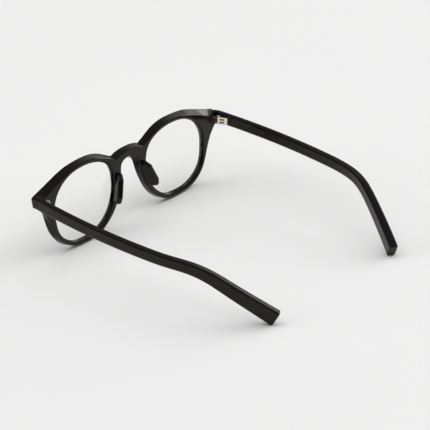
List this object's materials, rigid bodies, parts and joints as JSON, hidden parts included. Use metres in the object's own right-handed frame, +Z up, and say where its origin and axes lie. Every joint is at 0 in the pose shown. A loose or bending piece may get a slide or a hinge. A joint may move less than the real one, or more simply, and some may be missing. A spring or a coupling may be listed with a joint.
{
  "type": "eyeglasses",
  "caption": "Full-rim acetate eyeglasses with a panto-shaped front, clear lenses, fin nose pads, knuckle hinges and folding temples that bend down behind the ear.",
  "frame": {"origin": "on the floor, below the middle of the bounding box of the open glasses; they rest on both lower rims and both temple tips", "axes": "+Z up, +X towards the wearer's left, the front faces -Y and the temples run to +Y"},
  "size_m": [0.1462, 0.1398, 0.0441],
  "materials": {
    "black_acetate": "polished",
    "temple_acetate": "polished",
    "pad_acetate": "polished",
    "demo_lens": "clear",
    "hinge_metal": "satin",
    "screw_metal": "satin",
    "core_metal": "satin"
  },
  "bodies": {
    "front": {"front_frame": "black_acetate", "lens_left": "demo_lens", "nose_pad_left": "pad_acetate", "hinge_front_left": "hinge_metal", "lens_right": "demo_lens", "nose_pad_right": "pad_acetate", "hinge_front_right": "hinge_metal"},
    "left_temple": {"temple_left": "temple_acetate", "core_wire_left": "core_metal", "hinge_temple_left": "hinge_metal", "hinge_screw_left": "screw_metal"},
    "right_temple": {"temple_right": "temple_acetate", "core_wire_right": "core_metal", "hinge_temple_right": "hinge_metal", "hinge_screw_right": "screw_metal"}
  },
  "joints": [
    {"name": "left_temple_fold", "type": "hinge", "parent": "front", "child": "left_temple", "pos_m": [0.06615, -0.06148, 0.0323], "axis": [0, 0.0715, 0.9974], "range_deg": [0, 81]},
    {"name": "right_temple_fold", "type": "hinge", "parent": "front", "child": "right_temple", "pos_m": [-0.06615, -0.06148, 0.0323], "axis": [0, -0.0715, -0.9974], "range_deg": [0, 72]}
  ]
}
